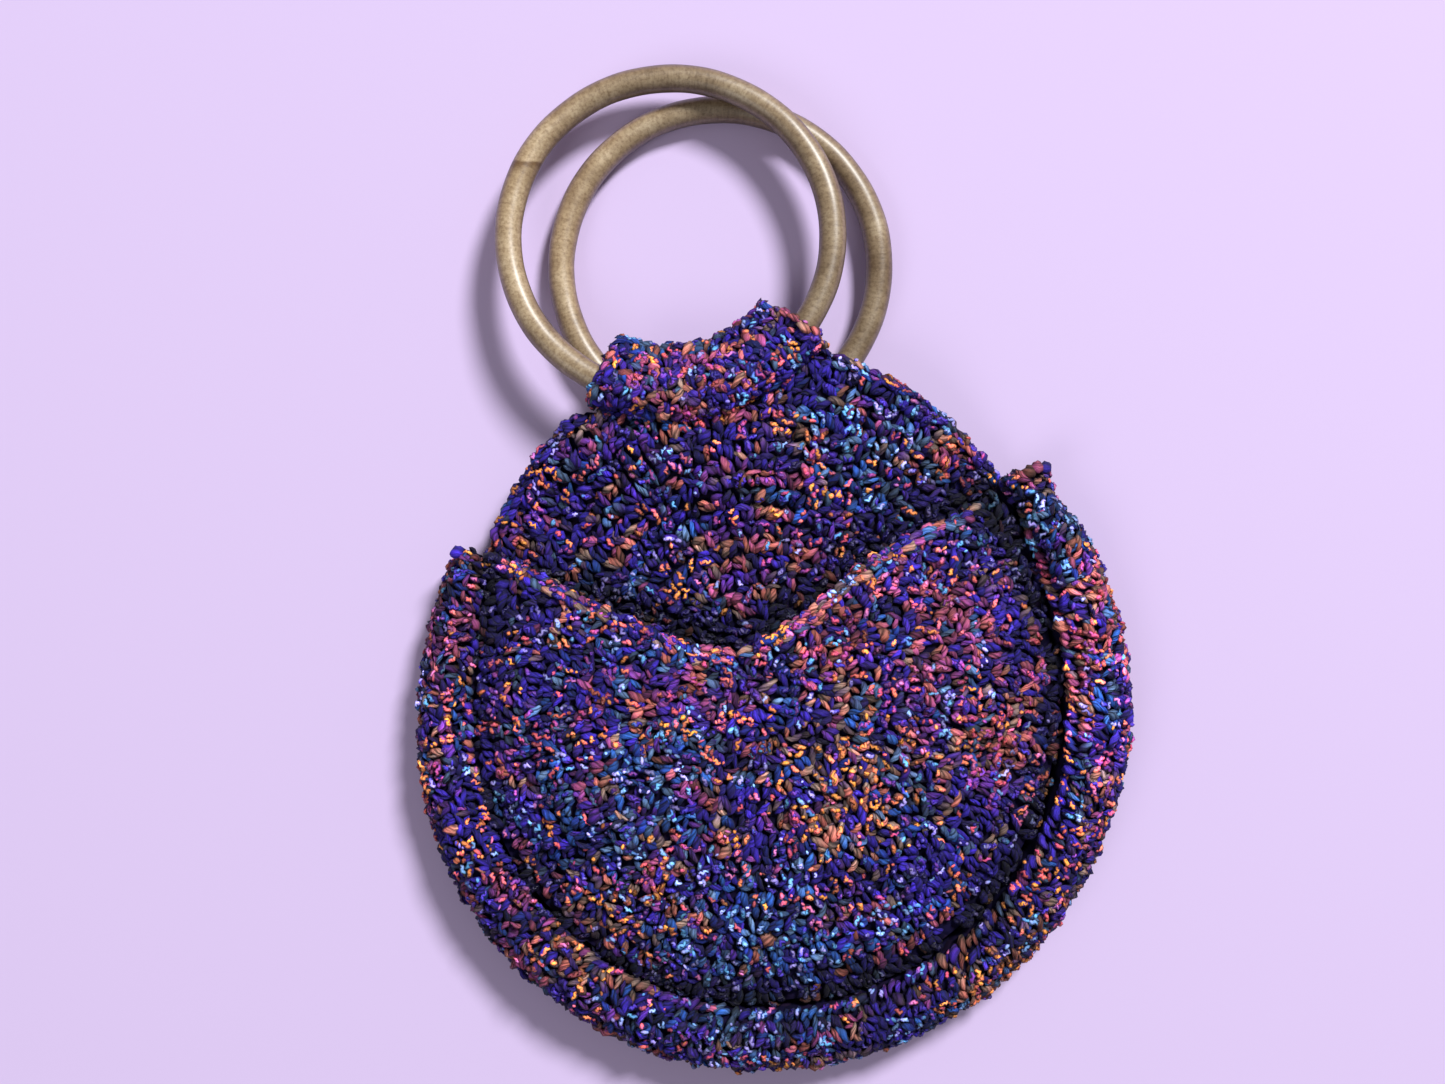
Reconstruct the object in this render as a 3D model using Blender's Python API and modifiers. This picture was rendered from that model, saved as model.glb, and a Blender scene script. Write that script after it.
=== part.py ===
"""Round crochet handbag with two wooden ring handles, lying on its back panel.

Two crocheted discs, a front and a back panel, are joined round their lower part by a
gusset that folds outwards into a rim. A pocket with a dipped mouth lies on the front
panel and is caught in the same seam. The top edge of each panel carries a sleeve that
is worked round a wooden ring.

Metres, +Z up from the surface that the bag lies on, +Y towards the handles. The origin
is on the underside of the back panel, in the middle of the rim.
"""

import math

import bmesh
import bpy
from mathutils import Vector

# Crocheted fabric
WALL = 0.0040  # thickness of the panels, the pocket and the gusset
SLEEVE_WALL = 0.0032  # one row of stitches worked round a ring
GAP = 0.0003  # clearance between pieces that touch

# Panels: the front seam, the wider back seam, and the free upper edge of both
SEAM_RADIUS = 0.1105
SEAM_CENTRE = Vector((-0.003, 0.003))
BACK_SEAM_STEP = 0.0065  # how much wider the back seam is
BACK_SEAM_RADIUS = SEAM_RADIUS + BACK_SEAM_STEP
TOP_RADIUS = 0.1067
TOP_CENTRE = Vector((0.0, 0.0274))
MAIN_DEPTH = 0.0080  # free height of the main compartment
SEAM_DIP = 0.0045  # how far the front seam is pulled down between rim and pocket
DIP_WIDTH = 0.0260  # distance over which the cloth comes up from the seam
DIP_END = (0.0700, 0.1050)  # stretch of Y over which the dip runs out at the free edge

# Gusset: the outer line of its fold, its height, and the directions of its two ends
RIM_WIDTH = 0.0225  # from the front seam to the outer line of the fold
RIM_RADIUS = SEAM_RADIUS + RIM_WIDTH
RIM_HEIGHT = 0.0235
LEFT_END = math.radians(142.5)
RIGHT_END = math.radians(36.5)

# Pocket
MOUTH_LOW = Vector((-0.009, 0.0253))  # lowest point of the dipped edge
POCKET_RISE = 0.0115  # how far the pocket bulges above its seam
POCKET_CORNER = math.radians(3.0)  # stretch of seam that each upper corner takes up

# Ring handles; each centre is placed from the top of the panels' free edge
RING_RADIUS = 0.0600  # centre line of the ring
RING_THICKNESS = 0.0100
FRONT_RING_RISE = Vector((-0.0099, 0.0467))
BACK_RING_RISE = Vector((0.0068, 0.0345))
PANEL_TOP = TOP_CENTRE + Vector((0.0, TOP_RADIUS))
FRONT_RING = PANEL_TOP + FRONT_RING_RISE
BACK_RING = PANEL_TOP + BACK_RING_RISE

# Sleeves: a round channel for the ring that narrows to a folded edge
SLEEVE_EASE = 0.0003  # clearance round the ring
SLEEVE_SPAN = math.radians(79.0)
FRONT_SLEEVE_TURN = math.radians(5.5)
BACK_SLEEVE_TURN = math.radians(1.5)
FOLD_REACH = 0.0138  # ring's centre line to the inside of the folded edge
FOLD_SLIT = 0.0014  # opening left between the two layers at the fold

# How the front panel climbs to its sleeve
EDGE_DROP = 0.0020  # ring's centre line to the middle of the panel's top edge
LIFT_FADE = 0.0450  # distance over which the panel settles to its own level

# Mesh fineness
RING_STEPS = 56
RING_SIDES = 12
PANEL_STEPS = 96
GUSSET_SECTIONS = 52
POCKET_COLUMNS = 46
SLEEVE_STEPS = 20

# Gusset's profile, from the front seam out to the fold: reach is the share of the way
# from the seam to the fold, crest the share of the way from the seam's height to the top
GUSSET_FRONT = [
    # reach, crest
    (0.12, 0.44),
    (0.27, 0.87),
    (0.46, 1.00),
    (0.66, 0.90),
    (0.86, 0.55),
]
# and on round the fold to the back seam: lift is the share of the fold's own height
GUSSET_BACK = [
    # reach, lift
    (0.86, 0.36),
    (0.60, 0.06),
    (0.30, 0.00),
]
FOLD_LEVEL = 0.48  # height of the outermost line, as a share of the rim's height

# The rim along its length, from the left end under the bag to the right end
RIM_SHAPE = [
    # along, fold radius, skew of the fold in degrees, crest
    (0.000, 0.996, 0.5, 0.80),
    (0.025, 0.988, 0.0, 0.95),
    (0.080, 0.985, 0.0, 1.00),
    (0.220, 1.008, 0.0, 1.00),
    (0.400, 1.008, 0.0, 1.00),
    (0.520, 0.992, 0.0, 0.98),
    (0.680, 0.990, 0.0, 1.00),
    (0.850, 1.004, 0.0, 1.00),
    (0.940, 1.006, 0.0, 1.02),
    (0.972, 0.990, -1.0, 1.00),
    (1.000, 1.040, -3.2, 0.90),
]

# The pocket's mouth from corner to corner: across runs from -1 at the left corner over
# 0 at the lowest point to 1 at the right corner, up is the share of the corner's height
MOUTH_SHAPE = [
    # across, up
    (-1.00, 1.00),
    (-0.84, 0.85),
    (-0.68, 0.65),
    (-0.40, 0.31),
    (-0.20, 0.09),
    (0.00, 0.00),
    (0.20, 0.14),
    (0.50, 0.54),
    (0.72, 0.71),
    (0.88, 0.79),
    (1.00, 1.00),
]

# How full the pocket is along its mouth, as a share of POCKET_RISE
POCKET_FULLNESS = [
    # along, fullness
    (0.00, 0.00),
    (0.10, 0.22),
    (0.24, 0.62),
    (0.36, 0.96),
    (0.55, 1.00),
    (0.72, 0.86),
    (0.88, 0.35),
    (1.00, 0.00),
]
POCKET_FOOT = 0.42  # share of the way to the seam where the pocket starts to fall

# Soft folds that run from the pocket's mouth to its seam
POCKET_FOLDS = [
    # along, half width, height as a share of POCKET_RISE
    (0.20, 0.05, -0.14),
    (0.31, 0.05, 0.14),
    (0.47, 0.06, -0.10),
    (0.66, 0.05, 0.12),
    (0.80, 0.05, -0.12),
]

FRONT_LEVEL = WALL + MAIN_DEPTH + WALL / 2  # middle of the front panel
POCKET_LEVEL = FRONT_LEVEL + WALL + GAP  # middle of the pocket at its seam
SEAM_LEVEL = (FRONT_LEVEL + POCKET_LEVEL) / 2 - SEAM_DIP  # middle of the gusset's edge
RING_SECTION = RING_THICKNESS / 2
SLEEVE_SECTION = RING_SECTION + SLEEVE_EASE + SLEEVE_WALL

# Looks of the two materials: colour and roughness
YARN = ((0.07, 0.05, 0.20), 0.9)
WOOD = ((0.42, 0.29, 0.15), 0.35)


def direction(angle):
    return Vector((math.cos(angle), math.sin(angle)))


def smoothstep(share):
    share = min(max(share, 0.0), 1.0)
    return share * share * (3 - 2 * share)


def read_table(table, place):
    """The row of a table at any place between its rows, on a smooth curve through them."""
    last = len(table) - 1
    row = max(i for i in range(last) if i == 0 or table[i][0] <= place)
    before, here = table[max(row - 1, 0)], table[row]
    there, after = table[row + 1], table[min(row + 2, last)]
    step = there[0] - here[0]
    share = min(max((place - here[0]) / step, 0.0), 1.0)
    values = []
    for a, b, c, d in list(zip(before, here, there, after))[1:]:
        leave = (c - a) / (there[0] - before[0]) * step
        arrive = (d - b) / (after[0] - here[0]) * step
        values.append(
            b * (1 + 2 * share) * (1 - share) ** 2
            + leave * share * (1 - share) ** 2
            + c * share**2 * (3 - 2 * share)
            + arrive * share**2 * (share - 1)
        )
    return values


def far_side(angle, centre, radius):
    """How far a line from the origin runs before it leaves a circle."""
    heading = direction(angle)
    aside = centre.x * heading.y - centre.y * heading.x
    return centre.dot(heading) + math.sqrt(radius**2 - aside**2)


def near_side(angle, centre, radius):
    """How far a line from the origin runs before it meets a circle, if it does."""
    heading = direction(angle)
    aside = centre.x * heading.y - centre.y * heading.x
    if abs(aside) >= radius or centre.dot(heading) < 0:
        return math.inf
    return centre.dot(heading) - math.sqrt(radius**2 - aside**2)


def front_outline(angle):
    """The front panel's edge: seam below, free arc above, hollowed by its sleeve."""
    edge = max(
        far_side(angle, SEAM_CENTRE, SEAM_RADIUS), far_side(angle, TOP_CENTRE, TOP_RADIUS)
    )
    return min(edge, near_side(angle, FRONT_RING, RING_RADIUS + SLEEVE_SECTION + GAP))


def back_outline(angle):
    """The back panel's edge. Its upper face is tucked in under the sleeve's round side."""
    edge = max(
        far_side(angle, Vector((0, 0)), BACK_SEAM_RADIUS),
        far_side(angle, TOP_CENTRE, TOP_RADIUS),
    )
    tuck = math.sqrt(SLEEVE_SECTION**2 - (SLEEVE_SECTION - WALL) ** 2)
    return min(edge, near_side(angle, BACK_RING, RING_RADIUS + tuck + GAP))


class RingPlane:
    """A ring's centre, height and slope: its far side lies lower than its sleeve."""

    def __init__(self, centre, near, far):
        """near and far are (y, height) of two points that the centre line passes."""
        self.centre = centre
        self.slope = (far[1] - near[1]) / (far[0] - near[0])
        self.level = near[1] + self.slope * (centre.y - near[0])

    def height(self, y):
        return self.level + self.slope * (y - self.centre.y)


def back_ring_plane():
    """The back ring: its far side and the ends of its sleeve lie on the table."""
    near_y = BACK_RING.y - RING_RADIUS * math.cos(SLEEVE_SPAN / 2 + BACK_SLEEVE_TURN)
    far_y = BACK_RING.y + RING_RADIUS
    return RingPlane(BACK_RING, (near_y, SLEEVE_SECTION), (far_y, RING_SECTION))


def front_ring_plane(below):
    """The front ring: sleeve lies on sleeve where the rings cross near the bag, and
    wood on wood where they cross again at the top."""
    apart = (BACK_RING - FRONT_RING) / 2
    across = math.sqrt(RING_RADIUS**2 - apart.length_squared)
    side = Vector((-apart.y, apart.x)).normalized() * across
    middle = FRONT_RING + apart
    near, far = sorted((middle - side, middle + side), key=lambda point: point.y)
    return RingPlane(
        FRONT_RING,
        (near.y, below.height(near.y) + 2 * SLEEVE_SECTION + 2 * GAP),
        (far.y, below.height(far.y) + 2 * RING_SECTION + 2 * GAP),
    )


BACK_PLANE = back_ring_plane()
FRONT_PLANE = front_ring_plane(BACK_PLANE)


def distance_to_arc(point, ring, turn, radius):
    """Plan distance from a point to the stretch of circle that a sleeve follows."""
    arm = point - ring
    angle = math.atan2(arm.x, -arm.y)
    angle = min(max(angle, turn - SLEEVE_SPAN / 2), turn + SLEEVE_SPAN / 2)
    nearest = ring + radius * Vector((math.sin(angle), -math.cos(angle)))
    return (point - nearest).length


def seam_dip(point):
    """How far the front panel and the pocket are pulled down near their seam."""
    inside = SEAM_RADIUS - (point - SEAM_CENTRE).length
    start, end = DIP_END
    dip = SEAM_DIP * smoothstep(1 - inside / DIP_WIDTH)
    return dip * smoothstep((end - point.y) / (end - start))


def front_level(point):
    """Height of the front panel's middle layer: level, down at the seam, and up over the
    back sleeve to the side of its own sleeve."""
    level = FRONT_LEVEL - seam_dip(point)
    edge = RING_RADIUS + SLEEVE_SECTION + GAP
    own = distance_to_arc(point, FRONT_RING, FRONT_SLEEVE_TURN, edge)
    other = distance_to_arc(point, BACK_RING, BACK_SLEEVE_TURN, RING_RADIUS)
    near = min(own, max(other - SLEEVE_SECTION, 0.0))
    top = FRONT_PLANE.height(min(point.y, FRONT_RING.y)) - EDGE_DROP
    return level + (top - level) * smoothstep(1 - near / LIFT_FADE)


def material(name, finish):
    colour, roughness = finish
    made = bpy.data.materials.new(name)
    made.use_nodes = True
    shader = made.node_tree.nodes["Principled BSDF"]
    shader.inputs["Base Color"].default_value = (*colour, 1.0)
    shader.inputs["Roughness"].default_value = roughness
    shader.inputs["Metallic"].default_value = 0.0
    return made


def new_object(name, mesh, collection, finish):
    made = bpy.data.objects.new(name, mesh)
    collection.objects.link(made)
    mesh.materials.append(material(name, finish))
    return made


def mesh_from(name, shape):
    mesh = bpy.data.meshes.new(name)
    bmesh.ops.recalc_face_normals(shape, faces=shape.faces)
    shape.to_mesh(mesh)
    shape.free()
    return mesh


def fabric_wall(made, thickness):
    """Gives a surface the thickness of the fabric, half on each side."""
    wall = made.modifiers.new("fabric", "SOLIDIFY")
    wall.thickness = thickness
    wall.offset = 0.0
    wall.use_even_offset = True
    return made


def disc(shares):
    """A flat disc of radius 1: a straight row of points, spun into rings."""
    shape = bmesh.new()
    row = [shape.verts.new((share, 0, 0)) for share in shares]
    edges = [shape.edges.new(pair) for pair in zip(row, row[1:])]
    bmesh.ops.spin(
        shape,
        geom=row + edges,
        axis=(0, 0, 1),
        cent=(0, 0, 0),
        angle=2 * math.pi,
        steps=PANEL_STEPS,
    )
    bmesh.ops.remove_doubles(shape, verts=shape.verts, dist=1e-5)
    return shape


def panel(name, shares, outline, level, collection):
    """A crocheted disc: the unit disc is drawn out to its outline and set to height."""
    shape = disc(shares)
    for vertex in shape.verts:
        share = math.hypot(vertex.co.x, vertex.co.y)
        angle = math.atan2(vertex.co.y, vertex.co.x)
        flat = direction(angle) * share * outline(angle)
        vertex.co = (flat.x, flat.y, level(flat))
    made = new_object(name, mesh_from(name, shape), collection, YARN)
    return fabric_wall(made, WALL)


def back_panel(collection):
    return panel(
        "back_panel",
        (0.0, 1.0),
        back_outline,
        lambda point: WALL / 2,
        collection,
    )


def front_panel(collection):
    return panel(
        "front_panel",
        (0.0, 0.45, 0.64, 0.78, 0.87, 0.94, 0.98, 1.0),
        front_outline,
        front_level,
        collection,
    )


def gusset_section(share):
    """One cross-section of the gusset, as a list of (outer point, inner point)."""
    fold, skew, crest = read_table(RIM_SHAPE, share)
    angle = LEFT_END + share * (2 * math.pi + RIGHT_END - LEFT_END)
    front = front_outline(angle) + GAP
    back = back_outline(angle) + GAP
    out = RIM_RADIUS * fold - WALL / 2
    top = SEAM_LEVEL + (RIM_HEIGHT - WALL / 2 - SEAM_LEVEL) * crest
    fold_level = RIM_HEIGHT * FOLD_LEVEL * crest
    line = [(front, SEAM_LEVEL, 0.0)]
    for reach, rise in GUSSET_FRONT:
        height = SEAM_LEVEL + (top - SEAM_LEVEL) * rise
        line.append((front + (out - front) * reach, height, reach))
    line.append((out, fold_level, 1.0))
    for reach, lift in GUSSET_BACK:
        height = WALL / 2 + (fold_level - WALL / 2) * lift
        line.append((back + (out - back) * reach, height, reach))
    line.append((back, WALL / 2, 0.0))
    pairs = []
    for i, (radius, height, reach) in enumerate(line):
        heading = angle + math.radians(skew) * reach
        if i in (0, len(line) - 1):
            normal = Vector((0, 1 if i == 0 else -1))
        else:
            ahead, behind = line[i + 1], line[i - 1]
            normal = Vector((behind[1] - ahead[1], ahead[0] - behind[0])).normalized()
        edge = front if i < len(line) / 2 else back
        pair = []
        for side in (WALL / 2, -WALL / 2):
            flat = direction(heading) * max(radius + side * normal.x, edge)
            pair.append((flat.x, flat.y, height + side * normal.y))
        pairs.append(pair)
    return pairs


def gusset(collection):
    """The band that joins the panels, folded outwards: a loft through its sections."""
    shape = bmesh.new()
    rings = []
    for i in range(GUSSET_SECTIONS + 1):
        even = i / GUSSET_SECTIONS
        share = (even + 0.5 - 0.5 * math.cos(math.pi * even)) / 2
        pairs = gusset_section(share)
        corners = [outer for outer, _ in pairs] + [inner for _, inner in pairs[::-1]]
        rings.append([shape.verts.new(corner) for corner in corners])
    count = len(rings[0])
    for ring, after in zip(rings, rings[1:]):
        for i in range(count):
            j = (i + 1) % count
            shape.faces.new((ring[i], ring[j], after[j], after[i]))
    for ring in (rings[0], rings[-1]):
        for i in range(count // 2 - 1):
            shape.faces.new((ring[i], ring[i + 1], ring[-2 - i], ring[-1 - i]))
    mesh = mesh_from("gusset", shape)
    return new_object("gusset", mesh, collection, YARN)


def mouth_point(along):
    """A point of the pocket's upper edge, from the left corner (0) to the right (1)."""
    left = direction(LEFT_END) * front_outline(LEFT_END)
    right = direction(RIGHT_END) * front_outline(RIGHT_END)
    across = 2 * along - 1
    corner = left if across < 0 else right
    (up,) = read_table(MOUTH_SHAPE, across)
    x = MOUTH_LOW.x + abs(across) * (corner.x - MOUTH_LOW.x)
    return Vector((x, MOUTH_LOW.y + up * (corner.y - MOUTH_LOW.y)))


def seam_point(along):
    """A point of the pocket's lower edge, which lies in the front seam."""
    start = LEFT_END + POCKET_CORNER
    end = 2 * math.pi + RIGHT_END - POCKET_CORNER
    angle = start + along * (end - start)
    return direction(angle) * (front_outline(angle) - 2 * GAP)


def pocket_level(along, down, point):
    """Height of the pocket's middle layer: full at the mouth, down at the seam."""
    (fullness,) = read_table(POCKET_FULLNESS, along)
    for place, half_width, height in POCKET_FOLDS:
        share = 1 - abs(along - place) / half_width
        fullness += height * smoothstep(share) * math.sin(math.pi * down) ** 2
    fall = 1 - smoothstep((down - POCKET_FOOT) / (1 - POCKET_FOOT))
    return POCKET_LEVEL - seam_dip(point) + POCKET_RISE * max(fullness, 0.0) * fall


def pocket(collection):
    """The front pocket: a surface lofted from its dipped mouth down to the seam."""
    downs = (0.0, 0.12, 0.26, 0.42, 0.58, 0.74, 0.88, 1.0)
    shape = bmesh.new()
    columns = []
    for i in range(POCKET_COLUMNS + 1):
        along = i / POCKET_COLUMNS
        column = []
        for down in downs:
            flat = mouth_point(along).lerp(seam_point(along), down)
            level = pocket_level(along, down, flat)
            column.append(shape.verts.new((flat.x, flat.y, level)))
        columns.append(column)
    for column, after in zip(columns, columns[1:]):
        for i in range(len(downs) - 1):
            shape.faces.new((column[i], column[i + 1], after[i + 1], after[i]))
    mesh = mesh_from("pocket", shape)
    return fabric_wall(new_object("pocket", mesh, collection, YARN), WALL)


def handle_frame(name, plane, collection):
    """An empty at a ring's centre, tilted with it."""
    frame = bpy.data.objects.new(name, None)
    collection.objects.link(frame)
    frame.location = (plane.centre.x, plane.centre.y, plane.level)
    frame.rotation_euler = (math.atan(plane.slope), 0, 0)
    return frame


def ring(name, frame, collection):
    """A bent wooden ring of round section."""
    bpy.ops.mesh.primitive_torus_add(
        major_radius=RING_RADIUS,
        minor_radius=RING_SECTION,
        major_segments=RING_STEPS,
        minor_segments=RING_SIDES,
    )
    made = bpy.context.object
    made.name = name
    made.data.name = name
    for owner in made.users_collection:
        owner.objects.unlink(made)
    collection.objects.link(made)
    made.data.materials.append(material(name, WOOD))
    made.data.shade_smooth()
    made.parent = frame
    return made


def sleeve(name, frame, turn, collection):
    """The crochet worked round a ring: a drop-shaped tube, swept round its centre."""
    channel = RING_SECTION + SLEEVE_EASE
    slit = FOLD_SLIT / 2
    leave = math.pi - math.acos((channel - slit) / FOLD_REACH)
    arc = [leave * (2 * i / 10 - 1) for i in range(11)]
    line = [(channel * math.cos(a), channel * math.sin(a)) for a in arc]
    middle = (line[-1][0] - FOLD_REACH) / 2, (line[-1][1] + slit) / 2
    line += [middle, (-FOLD_REACH, slit), (-FOLD_REACH, -slit), (middle[0], -middle[1])]
    shape = bmesh.new()
    points = [shape.verts.new((RING_RADIUS + out, 0, up)) for out, up in line]
    for point, after in zip(points, points[1:] + points[:1]):
        shape.edges.new((point, after))
    mesh = bpy.data.meshes.new(name)
    shape.to_mesh(mesh)
    shape.free()
    made = new_object(name, mesh, collection, YARN)
    sweep = made.modifiers.new("sweep", "SCREW")
    sweep.axis = "Z"
    sweep.angle = SLEEVE_SPAN
    sweep.steps = sweep.render_steps = SLEEVE_STEPS
    sweep.use_merge_vertices = False
    sweep.use_normal_calculate = True
    wall = fabric_wall(made, SLEEVE_WALL).modifiers["fabric"]
    wall.offset = 1.0
    made.rotation_euler = (0, 0, turn - SLEEVE_SPAN / 2 - math.pi / 2)
    made.parent = frame
    return made


def build():
    for old in list(bpy.data.objects):
        bpy.data.objects.remove(old)
    bag = bpy.data.collections.new("crochet_bag")
    bpy.context.scene.collection.children.link(bag)
    back_panel(bag)
    front_panel(bag)
    gusset(bag)
    pocket(bag)
    for side, plane, turn in (
        ("front", FRONT_PLANE, FRONT_SLEEVE_TURN),
        ("back", BACK_PLANE, BACK_SLEEVE_TURN),
    ):
        frame = handle_frame(f"{side}_handle", plane, bag)
        ring(f"{side}_ring", frame, bag)
        sleeve(f"{side}_sleeve", frame, turn, bag)


build()
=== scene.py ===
import math

import bpy
import numpy as np
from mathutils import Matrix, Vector
from mathutils.bvhtree import BVHTree


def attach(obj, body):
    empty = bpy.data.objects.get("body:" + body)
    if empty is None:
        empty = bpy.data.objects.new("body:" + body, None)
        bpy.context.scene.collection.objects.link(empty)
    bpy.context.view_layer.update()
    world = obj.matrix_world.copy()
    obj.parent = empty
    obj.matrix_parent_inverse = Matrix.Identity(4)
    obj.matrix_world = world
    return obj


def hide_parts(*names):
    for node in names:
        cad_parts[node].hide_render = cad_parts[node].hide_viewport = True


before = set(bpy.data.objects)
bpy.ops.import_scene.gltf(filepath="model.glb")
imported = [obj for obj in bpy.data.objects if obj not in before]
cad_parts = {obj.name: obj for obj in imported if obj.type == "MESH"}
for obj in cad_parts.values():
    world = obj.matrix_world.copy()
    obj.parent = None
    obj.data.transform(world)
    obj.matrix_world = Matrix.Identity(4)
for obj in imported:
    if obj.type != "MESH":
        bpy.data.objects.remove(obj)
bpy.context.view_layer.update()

# BACK PANEL
# A flat crocheted disc of thick multicoloured yarn: a soft ply bound with a thin glossy
# thread, worked in rounds from the middle. The bag lies on it, so its stitches are
# pressed flat against the table.

MM = 0.001
KNOTS = 4096
luck = np.random.default_rng(11)


def unit(vectors):
    """The same ways, each of length 1."""
    return vectors / np.maximum(np.linalg.norm(vectors, axis=-1, keepdims=True), 1e-9)


def cad_tree(name):
    """The faces of a CAD piece, for lines to be cast onto."""
    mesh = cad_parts[name].data
    return BVHTree.FromPolygons(
        [v.co.copy() for v in mesh.vertices], [tuple(p.vertices) for p in mesh.polygons]
    )


def cast(tree, starts, ways, reach=0.2):
    """Where lines from starts along ways first meet a CAD piece: points, normals, met."""
    points = np.array(starts, float)
    normals = -np.array(ways, float)
    met = np.zeros(len(points), bool)
    for i, (start, way) in enumerate(zip(starts, ways)):
        point, normal, _, _ = tree.ray_cast(Vector(start), Vector(way), reach)
        if point is not None:
            points[i] = point
            normals[i] = normal
            met[i] = True
    return points, unit(normals), met


def outward(angle):
    """The level ways out from a circle's middle at some angles."""
    return np.stack([np.cos(angle), np.sin(angle), 0 * angle], axis=1)


def onward(angle):
    """The level ways on round a circle at some angles."""
    return np.stack([-np.sin(angle), np.cos(angle), 0 * angle], axis=1)


def length_along(points):
    """How far each point of a line is from its start, in mm."""
    return np.concatenate([[0], np.cumsum(np.linalg.norm(np.diff(points, axis=0), axis=1))]) / MM


def value_noise(places, seed):
    """Smooth noise from -1 to 1 along a line of places, one knot for every unit."""
    knots = np.random.default_rng(seed).uniform(-1, 1, KNOTS)
    low = np.floor(places).astype(int)
    share = places - low
    share = share * share * (3 - 2 * share)
    return knots[low % KNOTS] * (1 - share) + knots[(low + 1) % KNOTS] * share


def patch_noise(points, size, seed):
    """Smooth noise from -1 to 1 over space, from a few random waves of about that size."""
    waves = np.random.default_rng(seed)
    total = np.zeros(len(points))
    for _ in range(7):
        way = unit(waves.normal(size=3))
        length = size * waves.uniform(0.7, 1.5)
        total += np.sin(points @ way * 2 * math.pi / length + waves.uniform(0, 6.3))
    return np.clip(total / 3.2, -1, 1)


class Rows:
    """Stitches in rows: where each one sits, and which way its row runs."""

    def __init__(self):
        self.point, self.normal, self.along, self.line, self.row = [], [], [], [], []

    def add(self, point, normal, along, line, row, met=slice(None)):
        """One more row, of which only the stitches in met lie on the cloth."""
        self.point.append(point[met])
        self.normal.append(normal[met])
        self.along.append(along[met])
        self.line.append(line[met])
        self.row.append(np.full(len(point[met]), row))

    def done(self):
        """All the rows as arrays, with ways at right angles to each other."""
        self.point = np.concatenate(self.point)
        self.normal = unit(np.concatenate(self.normal))
        along = np.concatenate(self.along)
        along = along - self.normal * (along * self.normal).sum(1, keepdims=True)
        self.along = unit(along)
        self.across = np.cross(self.along, self.normal)
        self.line = np.concatenate(self.line)
        self.row = np.concatenate(self.row)
        return self

    def keep(self, mask):
        """Only the stitches that the mask names."""
        kept = Rows()
        for name in ("point", "normal", "along", "across", "line", "row"):
            setattr(kept, name, getattr(self, name)[mask])
        return kept


# The loops of one stitch, in mm: along its row, across it, and out of the cloth. The three
# forms of a stitch differ in which way its two posts lean. Free edges are of chain stitches,
# the rim's crest is of slanting ones, and each peak ends in thick single loops.
POSTS = np.array([
    [
        [(-2.1, 3.8, -1.0), (-1.7, 2.1, 0.1), (-1.3, 0.7, 0.6),
         (-0.9, -0.7, 0.6), (-0.5, -2.1, 0.1), (-0.2, -3.8, -1.1)],
        [(2.1, 3.7, -1.0), (1.7, 2.1, 0.1), (1.4, 0.8, 0.5),
         (1.1, -0.6, 0.4), (0.8, -2.0, 0.0), (0.4, -3.6, -1.1)],
        [(-3.5, 1.8, -1.1), (-1.9, 2.5, -0.1), (-0.5, 2.9, 0.3),
         (0.8, 2.9, 0.3), (2.2, 2.5, -0.1), (3.7, 1.9, -1.1)],
    ],
    [
        [(-3.1, 3.1, -1.1), (-2.0, 1.7, 0.3), (-1.2, 0.5, 0.8),
         (-0.3, -0.7, 0.7), (0.5, -1.9, 0.1), (1.4, -3.5, -1.1)],
        [(0.8, 3.6, -1.0), (1.1, 2.0, 0.0), (1.3, 0.7, 0.2),
         (1.6, -0.6, 0.2), (1.9, -1.9, -0.1), (2.2, -3.4, -1.1)],
        [(-1.9, 3.7, -1.1), (-0.7, 2.8, 0.0), (0.3, 2.2, 0.4),
         (1.3, 1.7, 0.4), (2.3, 1.3, 0.0), (3.7, 0.9, -1.1)],
    ],
    [
        [(-0.9, 3.6, -1.1), (-1.1, 2.0, 0.0), (-1.4, 0.7, 0.3),
         (-1.7, -0.5, 0.3), (-1.9, -1.9, -0.1), (-2.1, -3.5, -1.1)],
        [(3.2, 3.0, -1.0), (2.1, 1.6, 0.2), (1.2, 0.5, 0.8),
         (0.4, -0.6, 0.8), (-0.4, -1.8, 0.2), (-1.3, -3.3, -1.1)],
        [(-3.7, 1.0, -1.1), (-2.2, 1.8, 0.0), (-1.1, 2.4, 0.4),
         (0.1, 2.9, 0.4), (1.2, 3.3, 0.0), (2.5, 3.7, -1.1)],
    ],
])
CHAIN = np.array([[
    [(-2.0, 0.1, -1.0), (-0.5, 0.9, 0.2), (1.0, 1.35, 0.6),
     (2.5, 1.35, 0.6), (3.9, 1.0, -0.1), (5.3, 0.4, -1.1)],
    [(-2.0, -0.1, -1.0), (-0.5, -0.9, 0.2), (1.0, -1.35, 0.6),
     (2.5, -1.35, 0.6), (3.9, -1.0, -0.1), (5.3, -0.4, -1.1)],
]])
RIDGE = np.array([[
    [(-1.4, 3.2, -1.2), (-0.6, 1.9, 0.2), (0.1, 0.6, 0.9),
     (0.9, -0.7, 0.9), (1.8, -2.0, 0.2), (2.9, -3.4, -1.2)],
    [(0.9, 2.8, -1.2), (1.4, 1.5, 0.1), (2.2, 0.4, 0.6),
     (3.1, -0.6, 0.6), (4.0, -1.6, 0.1), (5.0, -2.6, -1.2)],
]])
KNOB = np.array([[
    [(-3.2, 0.0, -2.0), (-1.9, 0.1, -0.3), (-0.7, 0.2, 0.6),
     (0.7, 0.1, 0.6), (1.9, 0.0, -0.3), (3.2, 0.0, -2.0)],
]])
PLY_SHAPE = np.array([0.0, 0.74, 1.08, 1.10, 0.80, 0.0])
PLY_FLAT, PLY_LOBE = 0.92, 0.17
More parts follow.
